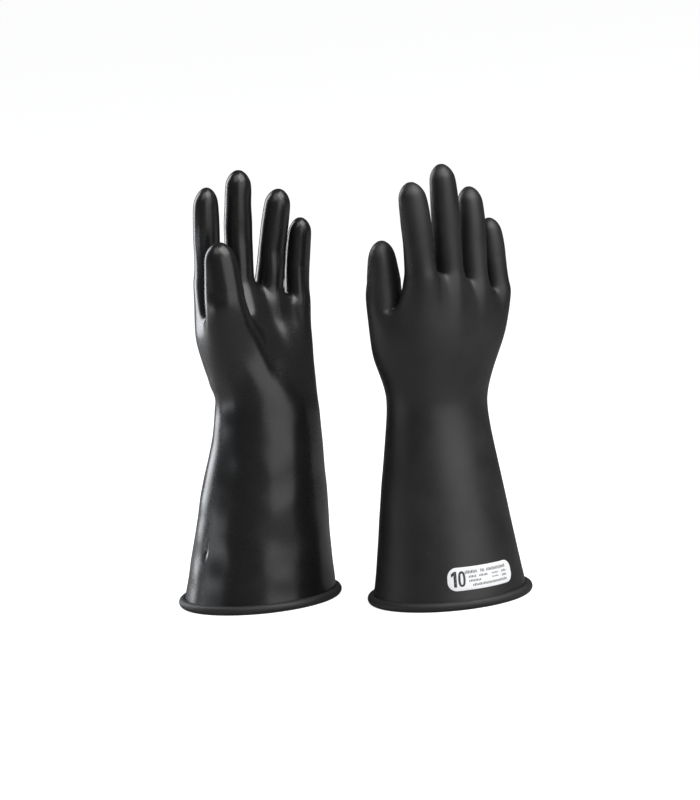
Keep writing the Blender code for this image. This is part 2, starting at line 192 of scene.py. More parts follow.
# ---- soft folds and dents of each glove: u, v, w, then reach along u, v, w and lift ----
PALM_HOLLOW = (8.0, 18.0, 228.0, 20.0, 22.0, 26.0, -4.5)
FOLDS = {
    "right": (
        PALM_HOLLOW,
        (-46.0, 36.0, 195.0, 28.0, 28.0, 26.0, 7.0),
        (-48.0, 28.0, 217.0, 26.0, 30.0, 26.0, 3.4),
        (50.0, -8.0, 220.0, 20.0, 24.0, 30.0, 4.4),
        (57.0, 12.0, 70.0, 30.0, 60.0, 60.0, -0.8),
    ),
    "left": (
        PALM_HOLLOW,
        (48.0, 24.0, 150.0, 24.0, 40.0, 130.0, 2.2),
        (-50.0, -20.0, 214.0, 22.0, 26.0, 28.0, 4.6),
        (-44.0, -12.0, 169.0, 14.0, 18.0, 9.0, -2.0),
        (-46.0, -8.0, 166.0, 10.0, 14.0, 5.0, -0.6),
        (-46.0, -4.0, 178.0, 10.0, 14.0, 5.0, 0.8),
        (-52.0, -4.0, 82.0, 30.0, 40.0, 40.0, 1.4),
        (-56.0, 9.0, 45.0, 5.0, 2.6, 5.0, -1.6),
        (-36.0, 38.0, 128.0, 16.0, 16.0, 14.0, 0.9),
        (-26.0, 46.0, 100.0, 18.0, 14.0, 12.0, -0.9),
        (-10.0, 52.0, 76.0, 18.0, 14.0, 13.0, 0.9),
    ),
}
WAVE_LENGTH = 44.0
WAVE_FADE = (8.0, 30.0)
# height and length of the small waves, as shares of the large ones
SMALL_WAVES = (0.5, 0.45)
WAVE_SHIFTS = {"right": (0.0, 31.0, 9.0), "left": (17.0, 5.0, 0.0)}
# how far shadows start off the facets of the skin, and how far their edge is softened
SHADOW_OFFSETS = (1.0, 0.1)

# ---- bead ----
BEAD_SIDES = 8
BEAD_OUTSET = 1.9
BEAD_CAGE_GROWTH = 1.108
# height of the bead's middle over the table, in radii
BEAD_SEAT = 0.965
BEAD_LEVELS = 2

# ---- label, in mm ----
LABEL_CENTRE_W = 24.0
LABEL_CENTRE_ANGLE = math.radians(74.5)
LABEL_COLUMNS = 40
LABEL_ROWS = 8
# share of a half turn over which the columns crowd towards the label's round ends
LABEL_END_SHARE = 0.985
# distance from which a label point is laid on the rubber
LAY_DISTANCE = 8.0
FILM_SINK = 0.15
FILM_EDGE = 0.12
INK_LIFT = 0.05
NUMBER_HEIGHT = 12.0
NUMBER_LEFT = -27.0
# outlines of the size number, in shares of its height
ONE_POINTS = (
    (0.17, -0.5), (0.37, -0.5), (0.37, 0.25), (0.17, 0.25),
    (0.37, 0.5), (0.19, 0.5), (0.0, 0.35), (0.0, 0.15),
)
ONE_FACES = ((0, 1, 2, 3), (3, 2, 4, 5), (7, 3, 5, 6))
ZERO_CENTRE = 0.72
ZERO_OUTLINES = ((0.25, 0.5), (0.095, 0.36))
ZERO_ROUNDING = (0.75, 0.85)
ZERO_COUNT = 28
# words of the small print: start along the label, height on it, length, letter height
SMALL_PRINT = (
    (-15.5, 4.9, 11.0, 2.3),
    (-2.0, 4.9, 4.2, 2.3),
    (3.4, 4.9, 20.4, 2.3),
    (-12.5, 1.2, 7.4, 1.7),
    (-3.6, 1.2, 8.6, 1.7),
    (8.2, 1.2, 7.0, 1.2),
    (18.4, 1.2, 6.0, 1.7),
    (-12.5, -2.0, 10.6, 1.7),
    (8.2, -1.6, 7.0, 1.2),
    (18.4, -2.0, 6.0, 1.7),
    (-9.5, -5.4, 33.0, 1.9),
)
LETTER_PITCH = 1.32
LETTER_SHARE = 0.62
# one letter in three is low: step from letter to letter, length of the cycle, and height
LETTER_CYCLE = (7, 3)
LOW_LETTER = 0.8

# ---- finishes ----
# bloom, roughness below and above the set value, grain and dust of each rubber
RUBBER_FINISHES = {
    "right": (0.7, -0.04, 0.06, 0.35, 0.7),
    "left": (0.25, -0.02, 0.02, 0.0, 0.2),
    "bead": (0.6, -0.07, 0.07, 0.8, 0.4),
}
RUBBER_IOR = 1.5
RUBBER_BUMP = (0.35, 0.0001)
# scale, detail and roughness of the patterns in the rubber
CLOUDS = (26.0, 3.0, 0.55)
PATCHES = (95.0, 3.0, 0.6)
FINE_GRAIN = (1500.0, 2.0, 0.6)
COARSE_GRAIN = (420.0, 3.0, 0.6)
BLOOM_RANGE = (0.35, 0.7)
GLOSS_RANGE = (0.34, 0.66)
PATCH_SHARE = 0.45
FINE_SHARE = 0.5
DUST_SCALE = 130.0
DUST_RADII = (0.02, 0.05)
DUST_RARITY = 0.93
DUST_ROUGHNESS = 0.3
DUST_COLOUR = (0.32, 0.30, 0.27, 1.0)
# printed film: pattern, share of the darker white, roughness, bump
FILM_PATTERN = (160.0, 3.0)
FILM_RANGE = (0.35, 0.7)
FILM_SHADE = 0.93
FILM_ROUGHNESS = (0.42, 0.56)
FILM_BUMP = (0.2, 0.0002)
# ink: pattern, where it is thin, how thin it gets, what shows through, roughness
INK_PATTERN = (900.0, 2.0)
INK_RANGE = (0.5, 0.85)
INK_THIN = 0.35
INK_GROUND = (0.7, 0.7, 0.7, 1.0)
INK_ROUGHNESS = (0.4, 0.55)
PRINT_RANGE = (0.3, 0.7)

# ---- stage, in metres ----
FLOOR_REACH = 12.0
FLOOR_ROUGHNESS = 0.9
WHITE = (1.0, 1.0, 1.0, 1.0)
ROOM_COLOUR = (0.9, 0.95, 1.0, 1.0)
PAIR_MIDDLE = (0.0, 0.0, 0.2)
LEFT_GLOVE = (-0.08, 0.03, 0.25)
COOL = (0.94, 0.96, 1.0)
WARM = (1.0, 0.985, 0.97)
NEUTRAL = (1.0, 0.99, 0.985)
# name, place, aim, width and height, power in watts, colour
SOFTBOXES = (
    ("softbox_left", (-1.0, 0.8, 0.62), LEFT_GLOVE, (0.5, 1.2), 15.0, COOL),
    ("softbox_right", (1.15, -0.68, 2.1), PAIR_MIDDLE, (2.0, 1.7), 54.0, WARM),
    ("softbox_top", (-0.1, -0.9, 1.9), PAIR_MIDDLE, (1.8, 1.2), 15.0, WARM),
    ("softbox_front", (1.9, -2.3, 0.9), PAIR_MIDDLE, (3.6, 2.2), 40.0, NEUTRAL),
    ("softbox_low", (-1.3, -0.12, 0.075), LEFT_GLOVE, (1.0, 0.12), 1.5, COOL),
)
SENSOR_WIDTH = 36.0
CAMERA_CLIP = (0.05, 60.0)


def mix(a, b, t):
    """Value between two, by a share."""
    return a + (b - a) * t


def ease(t):
    """Smooth step from 0 to 1."""
    t = min(max(t, 0.0), 1.0)
    return t * t * (3.0 - 2.0 * t)


# ========================================
# Cage of one glove
# ========================================
def section_at(height):
    """Cuff and palm section values at a height, linear between the listed sections."""
    for low, high in zip(SECTIONS, SECTIONS[1:]):
        if height <= high[0]:
            t = (height - low[0]) / (high[0] - low[0])
            return tuple(mix(p, q, t) for p, q in zip(low, high))
    return SECTIONS[-1]


def slant(point):
    """Raise a point near the cuff so that the rim follows its slanted plane."""
    low = RIM_SECTION[0]
    fade = 1.0 - ease((point.z - low) / (SLANT_FADE_END - low))
    rise = (RIM_SLOPE_U * point.x + RIM_SLOPE_V * point.y) * fade
    return Vector((point.x, point.y, point.z + rise))


def section_point(section, angle, side):
    """Point of a section at an angle from the thumb side; side is -1 back, +1 palm."""
    height, cu, cv, a, b, _, bulge = section
    u = -math.cos(angle)
    v = side * math.sin(angle)
    point = Vector((cu + a * u, cv + b * v, height))
    lowered = THENAR_ANGLE + THENAR_DRIFT * (SECTIONS[-1][0] - height)
    away = (angle * side - lowered) / THENAR_WIDTH
    if bulge and abs(away) < 1.0:
        point += Vector((u, v, 0.0)) * bulge * math.cos(away * math.pi / 2) ** 2
    return slant(point)


def knuckle_angle(finger, step):
    """Angle on the last palm section that stands under one column of a finger."""
    _, cu, _, a, _, _, _ = SECTIONS[-1]
    reach = FINGER_RADII[finger][0] * math.cos(KNUCKLE_TURNS[step])
    share = (FINGERS[finger][1] + reach - cu) / a
    return math.acos(-max(-KNUCKLE_REACH, min(KNUCKLE_REACH, share)))


def column_angles(share):
    """Angles of the columns from the thumb side to the little-finger side."""
    half = COLUMNS // 2
    angles = [0.0]
    for column in range(1, half):
        finger, step = divmod(column - 1, FINGER_COLUMNS)
        angles.append(mix(column * math.pi / half, knuckle_angle(finger, step), share))
    return angles + [math.pi]


def section_ring(section):
    """All columns of one section: thumb side, back, little-finger side, palm."""
    half = COLUMNS // 2
    angles = column_angles(section[5])
    back = [section_point(section, angles[k], -1) for k in range(half + 1)]
    palm = [section_point(section, angles[k], 1) for k in range(half - 1, 0, -1)]
    return back + palm


def ring_points(centre, normal, radii, twist=0.0, count=RING):
    """Oval ring round an axis: first point on the little-finger side, then the palm."""
    normal = normal.normalized()
    across = Vector((1.0, 0.0, 0.0))
    across = (across - normal * across.dot(normal)).normalized()
    palmar = normal.cross(across)
    long_way = across * math.cos(twist) + palmar * math.sin(twist)
    short_way = normal.cross(long_way)
    points = []
    for k in range(count):
        turn = 2 * math.pi * k / count - twist
        reach = long_way * radii[0] * math.cos(turn) + short_way * radii[1] * math.sin(turn)
        points.append(centre + reach)
    return points


def deepen(points, centre, share):
    """Stretch a ring away from its centre towards the back and the palm."""
    for point in points:
        point.y = centre.y + (point.y - centre.y) * share


def digit_axis(root, tip, bow, hang):
    """Centre line of a digit as a function of the distance from its root."""
    root_shift, tip_shift, stretch = hang
    root = root + Vector((root_shift, 0.0, 0.0))
    tip = tip + Vector((tip_shift, 0.0, 0.0))
    length = (tip - root).length
    along = (tip - root) / length

    def centre(distance):
        sag = bow * math.sin(math.pi * min(distance / length, 1.0))
        return root + along * distance + Vector((0.0, -sag, 0.0))

    return centre, along, length + stretch


def digit_data(hand, digit):
    """Axis, ring stations, radii, taper, twist and ring count of a digit."""
    hang = STALL_HANG[hand][digit]
    if digit == "thumb":
        axis = digit_axis(THUMB_ROOT, THUMB_TIP, 0.0, hang)
        start, splits = 0.0, THUMB_SPLITS
        looks = (THUMB_RADII, THUMB_TAPER, THUMB_TURN, THUMB_RING)
    else:
        number = DIGITS.index(digit)
        _, ru, rv, rw, tu, tv, tw = FINGERS[number]
        axis = digit_axis(Vector((ru, rv, rw)), Vector((tu, tv, tw)), FINGER_BOW, hang)
        start, splits = COLLAR, FINGER_SPLITS[number]
        looks = (FINGER_RADII[number], FINGER_TAPER, FINGER_TURNS[number], RING)
    root_end = start + splits[0]
    base_end = root_end + splits[1]
    stations = (start, root_end, (root_end + base_end) / 2, base_end, base_end + splits[2])
    return axis, stations, *looks


class Cage:
    """Coarse skin of one glove: points, faces and the piece that each face belongs to."""

    def __init__(self, hand):
        self.hand = hand
        self.points = []
        self.hold = []
        self.faces = []
        self.pieces = []
        rings = [
            self.ring(section_ring(section), float(section[0] < GUIDE_HEIGHT))
            for section in SECTIONS
        ]
        self.add_cuff_and_palm(rings)
        roots = self.add_finger_roots()
        self.add_knuckles(rings[-1], roots)
        for digit, root in zip(DIGITS, roots):
            self.add_digit(digit, root)
        self.add_thumb(rings)

    def ring(self, points, hold=1.0):
        """Add points; the skin runs through those with a hold of 1."""
        first = len(self.points)
        self.points.extend(points)
        self.hold.extend([hold] * len(points))
        return list(range(first, len(self.points)))

    def face(self, piece, *corners):
        self.faces.append(corners)
        self.pieces.append(PIECES.index(piece))

    def wall(self, piece, lower, upper):
        """Quads between two rings whose order runs anticlockwise seen from above."""
        count = len(lower)
        for k in range(count):
            after = (k + 1) % count
            self.face(piece, lower[k], lower[after], upper[after], upper[k])

    def add_cuff_and_palm(self, rings):
        """Walls between the sections, open where the thumb leaves the palm."""
        thumb_hole = [COLUMNS - 1 - k for k in range(THUMB_COLUMNS)]
        for row in range(len(rings) - 1):
            for k in range(COLUMNS):
                if row >= THUMB_LOW_ROW and k in thumb_hole:
                    continue
                after = (k + 1) % COLUMNS
                low, high = rings[row], rings[row + 1]
                self.face("shell", low[k], low[after], high[after], high[k])

    def add_finger_roots(self):
        """Rings where the fingers leave the palm, raised at the webs between them."""
        roots = []
        for number in range(len(FINGERS)):
            axis, _, radii, _, twist, _ = digit_data(self.hand, DIGITS[number])
            oval = (radii[0] * ROOT_GROWTH, radii[1] * ROOT_GROWTH)
            centre = axis[0](0.0)
            points = ring_points(centre, axis[1], oval, twist)
            for point in points:
                point.z -= SHOULDER_DROP
            deepen(points, centre, ROOT_DEPTHS[0])
            webs = []
            if number < len(FINGERS) - 1:
                webs.append((0, WEB_HEIGHTS[number]))
            if number > 0:
                webs.append((RING // 2, WEB_HEIGHTS[number - 1]))
            for side, height in webs:
                points[side].z = height
                for k in (side - 1, side + 1):
                    point = points[k % RING]
                    point.z = mix(point.z, height, WEB_RISE)
                    point.y = centre.y + math.copysign(WEB_DEPTH, point.y - centre.y)
            roots.append(self.ring(points, ROOT_HOLD))
        return roots

    def add_knuckles(self, last, roots):
        """Faces from the last palm ring to the finger roots, and the webs between."""
        side = RING // 2
        back = [last[1 + k] for k in range(FINGER_COLUMNS * len(FINGERS))]
        palm = [last[COLUMNS - 1 - k] for k in range(FINGER_COLUMNS * len(FINGERS))]
        for number, root in enumerate(roots):
            first = FINGER_COLUMNS * number
            end = first + FINGER_COLUMNS - 1
            for k in range(FINGER_COLUMNS - 1):
                one = first + k
                upper = (root[side + 2 + k], root[side + 1 + k])
                self.face("shell", back[one], back[one + 1], *upper)
                upper = (root[side - 1 - k], root[side - 2 - k])
                self.face("shell", palm[one + 1], palm[one], *upper)
            if number == 0:
                self.face("shell", last[0], back[0], root[side + 1], root[side])
                self.face("shell", palm[0], last[0], root[side], root[side - 1])
            if number == len(roots) - 1:
                middle = last[COLUMNS // 2]
                self.face("shell", back[end], middle, root[0], root[RING - 1])
                self.face("shell", middle, palm[end], root[1], root[0])
            else:
                far = roots[number + 1]
                self.face("shell", back[end], back[end + 1], far[side + 1], root[RING - 1])
                self.face("shell", root[RING - 1], far[side + 1], far[side], root[0])
                self.face("shell", root[0], far[side], far[side - 1], root[1])
                self.face("shell", palm[end + 1], palm[end], root[1], far[side - 1])

    def add_digit(self, digit, root_ring):
        """Collar, stall and domed tip of a digit above its root ring."""
        axis, stations, radii, taper, twist, count = digit_data(self.hand, digit)
        centre, along, length = axis
        dome = DOME_LENGTH * taper[-1] * (radii[0] + radii[1]) / 2
        last = min(stations[-1], mix(stations[-2], length - dome, LAST_RING))
        pieces = ("shell", "_lower", "_lower", "_upper", "_upper")
        ring = root_ring
        for number, distance in enumerate(stations[:-1] + (last,)):
            oval = (radii[0] * taper[number], radii[1] * taper[number])
            points = ring_points(centre(distance), along, oval, twist, count)
            if digit != "thumb" and number < 2:
                deepen(points, centre(distance), ROOT_DEPTHS[number + 1])
            upper = self.ring(points)
            piece = pieces[number]
            self.wall(piece if piece == "shell" else digit + piece, ring, upper)
            ring = upper
        for below in DOME_RINGS:
            share = taper[-1] * math.sqrt(1.0 - (1.0 - below) ** 2)
            oval = (radii[0] * share, radii[1] * share)
            spot = centre(length - below * dome)
            upper = self.ring(ring_points(spot, along, oval, twist, count))
            self.wall(digit + "_upper", ring, upper)
            ring = upper
        apex = self.ring([centre(length)])[0]
        for k in range(0, count, 2):
            self.face(digit + "_upper", apex, ring[k], ring[k + 1], ring[(k + 2) % count])

    def add_thumb(self, rings):
        """Ring on the thumb mound inside the hole of the palm, and the thumb on it."""
        columns = [0] + [COLUMNS - 1 - k for k in range(THUMB_COLUMNS)]
        low, middle, high = rings[THUMB_LOW_ROW : THUMB_LOW_ROW + 3]
        border = [middle[columns[-1]]]
        border += [low[k] for k in reversed(columns)]
        border += [middle[columns[0]]]
        border += [high[k] for k in columns]
        shape = (THENAR_CENTRE, THENAR_NORMAL, THENAR_RADII, THENAR_TURN, THUMB_RING)
        thenar = self.ring(ring_points(*shape), 0.0)
        self.wall("shell", border, thenar)
        self.add_digit("thumb", thenar)


# ========================================
# Mesh helpers
# ========================================
def lean_matrix():
    """Turn that brings the slanted rim plane level."""
    normal = Vector((-RIM_SLOPE_U, -RIM_SLOPE_V, 1.0)).normalized()
    return normal.rotation_difference(Vector((0.0, 0.0, 1.0))).to_matrix().to_4x4()


def glove_matrix(hand):
    """Glove frame in millimetres to the world in metres; the left glove is mirrored."""
    place = Matrix.Translation(SPOTS[hand]) @ Matrix.Rotation(YAWS[hand], 4, "Z")
    if hand == "left":
        place = place @ Matrix.Diagonal((1.0, -1.0, 1.0, 1.0))
    return Matrix.Diagonal((MM, MM, MM, 1.0)) @ place @ lean_matrix()


def finish_with(points, faces, pieces, stack):
    """Mesh of a cage after a modifier stack; the piece numbers come through it."""
    mesh = bpy.data.meshes.new("cage")
    mesh.from_pydata([tuple(p) for p in points], [], faces)
    mesh.attributes.new("piece", "INT", "FACE").data.foreach_set("value", pieces)
    obj = bpy.data.objects.new("cage", mesh)
    bpy.context.scene.collection.objects.link(obj)
    for kind, values in stack:
        modifier = obj.modifiers.new(kind.title(), kind)
        for key, value in values.items():
            setattr(modifier, key, value)
    graph = bpy.context.evaluated_depsgraph_get()
    done = bpy.data.meshes.new_from_object(obj.evaluated_get(graph))
    bpy.data.objects.remove(obj)
    bpy.data.meshes.remove(mesh)
    return done


def mesh_arrays(mesh):
    """Points, quads, piece numbers and point normals of a mesh of quads."""
    points = np.empty(len(mesh.vertices) * 3)
    mesh.vertices.foreach_get("co", points)
    normals = np.empty(len(mesh.vertices) * 3)
    mesh.vertex_normals.foreach_get("vector", normals)
    quads = np.empty(len(mesh.loops), dtype=np.int64)
    mesh.loops.foreach_get("vertex_index", quads)
    pieces = np.empty(len(mesh.polygons), dtype=np.int64)
    mesh.attributes["piece"].data.foreach_get("value", pieces)
    return points.reshape(-1, 3), quads.reshape(-1, 4), pieces, normals.reshape(-1, 3)


def subdivision(levels):
    """Subdivision Surface for finish_with."""
    return ("SUBSURF", {"levels": levels, "render_levels": levels})


def add_piece(name, points, faces, material, place, normals=None):
    """Object at the origin whose mesh holds the placed points."""
    turned = place.to_3x3()
    mirrored = turned.determinant() < 0
    matrix = np.array(place)
    placed = np.asarray(points) @ matrix[:3, :3].T + matrix[:3, 3]
    faces = np.asarray(faces)
    if mirrored:
        faces = faces[:, ::-1]
    mesh = bpy.data.meshes.new(name)
    mesh.from_pydata(placed.tolist(), [], faces.tolist())
    mesh.shade_smooth()
    if normals is not None:
        corner_normals = np.asarray(normals)
        if mirrored:
            corner_normals = corner_normals[:, ::-1]
        corner_normals = corner_normals.reshape(-1, 3) @ (matrix[:3, :3].T / MM)
        mesh.normals_split_custom_set(corner_normals.tolist())
    mesh.materials.append(material)
    obj = bpy.data.objects.new(name, mesh)
    obj.shadow_terminator_geometry_offset = SHADOW_OFFSETS[0]
    obj.shadow_terminator_shading_offset = SHADOW_OFFSETS[1]
    bpy.context.scene.collection.objects.link(obj)
    return obj


# ========================================
# Rubber skin
# ========================================
def relaxed(points, cage):
    """Let the guide points settle halfway between themselves and their neighbours."""
    around = [set() for _ in points]
    for face in cage.faces:
        for one, other in zip(face, face[1:] + face[:1]):
            around[one].add(other)
            around[other].add(one)
    free = [k for k, hold in enumerate(cage.hold) if hold == 0.0 and around[k]]
    for _ in range(RELAX_ROUNDS):
        settled = points.copy()
        for k in free:
            settled[k] = (points[k] + points[sorted(around[k])].mean(axis=0)) / 2
        points = settled
    return points


def fitted_cage(cage, levels):
    """Cage points moved out until the smooth skin runs through the given points."""
    target = relaxed(np.array([tuple(p) for p in cage.points]), cage)
    fitted = target.copy()
    hold = np.array(cage.hold)[:, None]
    for _ in range(FIT_ROUNDS):
        smooth = finish_with(fitted, cage.faces, cage.pieces, [subdivision(levels)])
        points = mesh_arrays(smooth)[0]
        bpy.data.meshes.remove(smooth)
        fitted += (target - points[: len(target)]) * hold
    return fitted


def fold_lift(hand, point):
    """How far the folds and dents of a glove lift the skin at a point."""
    lift = 0.0
    for u, v, w, reach_u, reach_v, reach_w, height in FOLDS[hand]:
        away = ((point.x - u) / reach_u) ** 2
        away += ((point.y - v) / reach_v) ** 2 + ((point.z - w) / reach_w) ** 2
        lift += height * math.exp(-away)
    return lift


def relief(hand, points, normals, waviness):
    """Folds and slow waves of the hand-dipped rubber, pushed along the normals."""
    shift = Vector(WAVE_SHIFTS[hand])
    small, small_length = SMALL_WAVES
    lifts = np.empty(len(points))
    for number, values in enumerate(points):
        point = Vector(values)
        wave = noise.noise((point + shift) / WAVE_LENGTH)
        wave += small * noise.noise((point - shift) / (WAVE_LENGTH * small_length))
        fade = ease((point.z - WAVE_FADE[0]) / (WAVE_FADE[1] - WAVE_FADE[0]))
        lifts[number] = fold_lift(hand, point) + wave * waviness * fade
    return points + normals * lifts[:, None]


def wall_mesh(hand, settings):
    """Whole wall of a glove: outer skin first, then the inner one in the same order."""
    cage = Cage(hand)
    levels = settings.smoothness
    fitted = fitted_cage(cage, levels)
    skin = finish_with(fitted, cage.faces, cage.pieces, [subdivision(levels)])
    points, quads, pieces, normals = mesh_arrays(skin)
    bpy.data.meshes.remove(skin)
    waviness = settings.waviness_left if hand == "left" else settings.waviness_right
    points = relief(hand, points, normals, waviness / MM)
    solidify = {"thickness": settings.wall / MM, "offset": -1.0, "use_rim": False}
    return finish_with(points, quads.tolist(), pieces, [("SOLIDIFY", solidify)])


def open_edges(quads):
    """Directed edges that only one of the quads uses."""
    starts = quads.ravel()
    ends = np.roll(quads, -1, axis=1).ravel()
    keys = np.minimum(starts, ends) * (quads.max() + 1) + np.maximum(starts, ends)
    _, first, count = np.unique(keys, return_index=True, return_counts=True)
    once = first[count == 1]
    return starts[once], ends[once]


def cut_piece(wall, number):
    """Closed solid of one piece of the wall: points, quads and their corner normals."""
    points, quads, pieces, normals = wall
    half = len(points) // 2
    mine = quads[pieces == number]
    outer = mine[mine[:, 0] < half]
    starts, ends = open_edges(outer)
    rims = np.stack((ends, starts, starts + half, ends + half), axis=1)
    corner = points[rims[:, 0]]
    across = np.cross(points[rims[:, 1]] - corner, points[rims[:, 3]] - corner)
    across /= np.linalg.norm(across, axis=1)[:, None]
    corner_normals = np.concatenate((normals[mine], np.repeat(across[:, None], 4, axis=1)))
    everything = np.concatenate((mine, rims))
    used, order = np.unique(everything, return_inverse=True)
    return points[used], order.reshape(-1, 4), corner_normals


def bend_piece(piece, hand, digit, limits):
    """Ends of a stall piece's joint, clear of the cuts at both of its ends, and its placing baked
    into its mesh.
    """
    place = glove_matrix(hand)
    centre, along, _ = digit_data(hand, digit)[0]
    root = centre(0.0)
    ends = [place @ (root + along * distance) for distance in limits]
    tuple(ends[0])
    tuple(ends[1])
    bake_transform(piece)


def distances_along(points, hand, digit):
    """Distances of points along a digit, measured from its root."""
    centre, along, _ = digit_data(hand, digit)[0]
    return (points - np.array(centre(0.0))) @ np.array(along)


def bend_limits(points, hand, digit, lower):
    """Distances along a digit that bound the joint of a stall piece."""
    _, stations, *_ = digit_data(hand, digit)
    if not lower:
        start = max(stations[3] - BEND_REACH, stations[2] + BASE_GAP)
        return start, stations[4] + BEND_REACH
    away = distances_along(points, hand, digit)
    cut = away[np.abs(away - stations[0]) < CUT_SWAY]
    return cut.max() + ROOT_GAP, min(stations[1] + BEND_REACH, stations[2] - BASE_GAP)


def make_glove(hand, settings, material):
    """All pieces of one rubber shell, placed in the world; the frame bodies that they stand for are
    hidden.
    """
    mesh = wall_mesh(hand, settings)
    wall = mesh_arrays(mesh)
    bpy.data.meshes.remove(mesh)
    place = glove_matrix(hand)
    for number, piece_name in enumerate(PIECES):
        points, quads, normals = cut_piece(wall, number)
        name = f"{hand}_{piece_name}" + ("" if number == 0 else "_stall")
        piece = add_piece(name, points, quads, material, place, normals)
        if number == 0:
            nodes = [f"{hand}_{zone}" for zone in ("gauntlet", "wrist_bend", "hand")]
            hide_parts(*nodes)
            middle = section_at(sum(WRIST_BEND) / 2)
            ends = [place @ Vector((middle[1], middle[2], height)) for height in WRIST_BEND]
            tuple(ends[0])
            tuple(ends[1])
            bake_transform(piece)
            continue
        digit, part = piece_name.rsplit("_", 1)
        lower = part == "lower"
        if lower:
            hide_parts(f"{hand}_{digit}_root_bend", f"{hand}_{digit}_base")
        else:
            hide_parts(f"{hand}_{digit}_mid_bend", f"{hand}_{digit}_tip")
        bend_piece(piece, hand, digit, bend_limits(points, hand, digit, lower))


# ========================================
# Bead
# ========================================
def make_bead(hand, settings, material):
    """Rolled bead round the rim, flat where it stands on the table."""
    level = lean_matrix()
    back = level.inverted()
    rim = [level @ p for p in section_ring(RIM_SECTION)]
    radius = settings.bead_radius / MM
    points = []
    faces = []
    for k, spot in enumerate(rim):
        run = rim[(k + 1) % COLUMNS] - rim[k - 1]
        out = Vector((run.y, -run.x, 0.0)).normalized()
        middle = Vector((spot.x, spot.y, radius * BEAD_SEAT)) + out * BEAD_OUTSET
        for s in range(BEAD_SIDES):
            turn = 2 * math.pi * (s + 0.5) / BEAD_SIDES
            offset = out * math.cos(turn) + Vector((0.0, 0.0, math.sin(turn)))
            points.append(middle + offset * radius * BEAD_CAGE_GROWTH)
            up = (s + 1) % BEAD_SIDES
            here, after = k * BEAD_SIDES, (k + 1) % COLUMNS * BEAD_SIDES
            faces.append((here + s, after + s, after + up, here + up))
    mesh = finish_with(points, faces, [0] * len(faces), [subdivision(BEAD_LEVELS)])
    rounded, quads, _, _ = mesh_arrays(mesh)
    bpy.data.meshes.remove(mesh)
    rounded[:, 2] = np.maximum(rounded[:, 2], 0.0)
    place = glove_matrix(hand) @ back
    piece = add_piece(hand + "_rolled_bead", rounded, quads, material, place)
    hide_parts(hand + "_cuff_bead")
    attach(piece, hand + "_cuff")


# ========================================
# Label
# ========================================
class CuffSurface:
    """Outside of a finished cuff, onto which flat label shapes are laid."""

    def __init__(self, hand):
        self.hand = hand
        self.place = glove_matrix(hand)
        shell = bpy.data.objects[hand + "_shell"].data
        points = [v.co.copy() for v in shell.vertices]
        faces = [tuple(p.vertices) for p in shell.polygons]
        self.tree = BVHTree.FromPolygons(points, faces)
        middle = section_at(LABEL_CENTRE_W)
        self.radius = (middle[3] + middle[4]) / 2
        self.way = 1.0 if hand == "right" else -1.0

    def lay(self, s, h, lift):
        """World point over the cuff for a place on the label, lifted off the rubber."""
        angle = LABEL_CENTRE_ANGLE + self.way * s / self.radius
        section = section_at(LABEL_CENTRE_W + h)
        axis = Vector((section[1], section[2], section[0]))
        surface = section_point(section, angle, -1)
        out = Vector((surface.x - axis.x, surface.y - axis.y, 0.0)).normalized()
        start = self.place @ (surface + out * LAY_DISTANCE)
        aim = (self.place @ surface - start).normalized()
        spot, normal, _, _ = self.tree.ray_cast(start, aim)
        if spot is None:
            raise RuntimeError("the label misses the cuff at " + str((s, h)))
        return spot + normal * lift * MM


def label_grid(settings):
    """Flat grid of the rounded label: points (s, h) and quads."""
    half_length = settings.label_length / MM / 2
    half_height = settings.label_height / MM / 2
    corner = settings.label_corner / MM
    points = []
    for k in range(LABEL_COLUMNS + 1):
        s = half_length * math.sin(math.pi * (k / LABEL_COLUMNS - 0.5) * LABEL_END_SHARE)
        over = max(abs(s) - (half_length - corner), 0.0)
        reach = half_height - corner + math.sqrt(max(corner**2 - over**2, 0.0))
        for row in range(LABEL_ROWS + 1):
            points.append((s, reach * (2 * row / LABEL_ROWS - 1)))
    faces = []
    for k in range(LABEL_COLUMNS):
        for row in range(LABEL_ROWS):
            one = k * (LABEL_ROWS + 1) + row
            far = one + LABEL_ROWS + 1
            faces.append((one, far, far + 1, one + 1))
    return points, faces


def block(left, low, width, height):
    """Flat rectangle."""
    right, top = left + width, low + height
    return [(left, low), (left, top), (right, low), (right, top)], [(0, 2, 3, 1)]


def digit_one(left, height):
    """Bold condensed 1 with a slanting flag."""
    return [(left + x * height, y * height) for x, y in ONE_POINTS], list(ONE_FACES)


def rounded_share(share, power):
    """Power of a share that keeps its sign, for fuller outlines."""
    return math.copysign(abs(share) ** power, share)


def digit_zero(centre, height):
    """Bold condensed 0: a band between two rounded outlines."""
    points = []
    for half_width, half_height in ZERO_OUTLINES:
        for k in range(ZERO_COUNT):
            turn = 2 * math.pi * k / ZERO_COUNT
            across = rounded_share(math.cos(turn), ZERO_ROUNDING[0])
            up = rounded_share(math.sin(turn), ZERO_ROUNDING[1])
            points.append((centre + height * half_width * across, height * half_height * up))
    faces = []
    for k in range(ZERO_COUNT):
        after = (k + 1) % ZERO_COUNT
        faces.append((ZERO_COUNT + k, k, after, ZERO_COUNT + after))
    return points, faces


def joined(parts):
    """Several flat shapes as one list of points and one of quads."""
    points = []
    faces = []
    for part_points, part_faces in parts:
        first = len(points)
        points += part_points
        faces += [tuple(first + c for c in face) for face in part_faces]
    return points, faces


def number_shape():
    """The size number."""
    one = digit_one(NUMBER_LEFT, NUMBER_HEIGHT)
    zero = digit_zero(NUMBER_LEFT + NUMBER_HEIGHT * ZERO_CENTRE, NUMBER_HEIGHT)
    return joined([one, zero])


